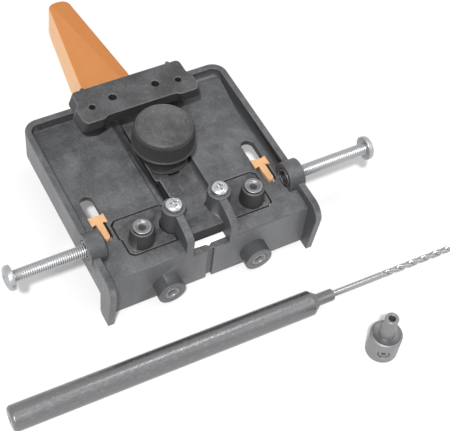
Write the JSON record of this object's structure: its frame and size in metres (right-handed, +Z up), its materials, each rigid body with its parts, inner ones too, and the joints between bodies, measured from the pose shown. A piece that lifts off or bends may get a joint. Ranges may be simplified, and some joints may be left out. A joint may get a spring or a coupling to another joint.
{
  "type": "hinge plate drilling jig",
  "caption": "Drilling jig that hooks on a cabinet edge: guide bushes, setback pointers locked by a knob, side stops, cam lever clamp, long drill and stop collar.",
  "frame": {"origin": "on the inner face of the fence, in the middle of the jig's width, level with the seat under the side walls", "axes": "+X to the right seen from the fence side, +Y from the fence back towards the clamp lever, +Z up out of the deck"},
  "size_m": [0.1783, 0.2041, 0.0391],
  "materials": {
    "moulded_nylon": "matt glass-filled nylon, lightly dusty",
    "knob_plastic": "fine textured plastic with a fluted edge",
    "jaw_plastic": "matt moulded plastic",
    "pad_rubber": "matt rubber",
    "orange_plastic": "satin moulded plastic",
    "bush_steel": "turned and hardened, dull grey",
    "plated_steel": "bright zinc plate",
    "bright_drill_steel": "ground drill steel",
    "blackened_steel": "black oxide, glossy with scratches"
  },
  "bodies": {
    "jig_frame": {"body": "moulded_nylon", "retainer_strip": "bush_steel", "bridge": "moulded_nylon", "bush_carrier_left": "moulded_nylon", "bush_carrier_right": "moulded_nylon", "top_bush_left": "bush_steel", "top_bush_right": "bush_steel", "fence_bush_left": "bush_steel", "fence_bush_right": "bush_steel", "post_screw_left": "plated_steel", "post_screw_right": "plated_steel", "bridge_screw_left": "plated_steel", "bridge_screw_right": "plated_steel", "stop_insert_left": "bush_steel", "stop_insert_right": "bush_steel", "lever_pin": "plated_steel", "knob_stud": "plated_steel", "clamp_nut": "bush_steel", "knob_washer": "blackened_steel"},
    "setback": {"setback_bar": "moulded_nylon", "pointer_strip": "orange_plastic", "pointer_left": "orange_plastic", "pointer_right": "orange_plastic", "link_screw": "plated_steel"},
    "knob": {"locking_knob": "knob_plastic"},
    "lever": {"clamp_lever": "orange_plastic"},
    "jaw": {"clamp_jaw": "jaw_plastic", "jaw_pad": "pad_rubber", "jaw_guide_pin": "plated_steel"},
    "stop_left": {"stop_screw_left": "plated_steel"},
    "stop_right": {"stop_screw_right": "plated_steel"},
    "drill": {"drill_arbor": "blackened_steel", "drill_bit": "bright_drill_steel", "arbor_grub_screw": "blackened_steel"},
    "collar": {"stop_collar": "blackened_steel", "collar_grub_screw": "blackened_steel"}
  },
  "joints": [
    {"name": "setback_slide", "type": "slide", "parent": "jig_frame", "child": "setback", "axis": [0, 1, 0], "range_m": [0, 0.008]},
    {"name": "knob_turn", "type": "hinge", "parent": "jig_frame", "child": "knob", "pos_m": [0.0014, 0.0412, 0.018], "axis": [0, 0, -1], "range_deg": [0, 360]},
    {"name": "lever_swing", "type": "hinge", "parent": "jig_frame", "child": "lever", "pos_m": [0, 0.073, -0.0058], "axis": [1, 0, 0], "range_deg": [0, 40]},
    {"name": "jaw_slide", "type": "slide", "parent": "jig_frame", "child": "jaw", "axis": [0, -1, 0], "range_m": [0, 0.00193]},
    {"name": "stop_left_travel", "type": "slide", "parent": "jig_frame", "child": "stop_left", "axis": [1, 0, 0], "range_m": [-0.003, 0.008]},
    {"name": "stop_right_travel", "type": "slide", "parent": "jig_frame", "child": "stop_right", "axis": [-1, 0, 0], "range_m": [-0.0009, 0.0101]},
    {"name": "drill_lift", "type": "slide", "parent": "jig_frame", "child": "drill", "axis": [0, 0, 1], "range_m": [0, 0.04]},
    {"name": "collar_lift", "type": "slide", "parent": "jig_frame", "child": "collar", "axis": [0, 0, 1], "range_m": [0, 0.04]}
  ],
  "couplings": [
    {"joint": "jaw_slide", "follows": "lever_swing", "m_per_rad": 0.00276}
  ]
}
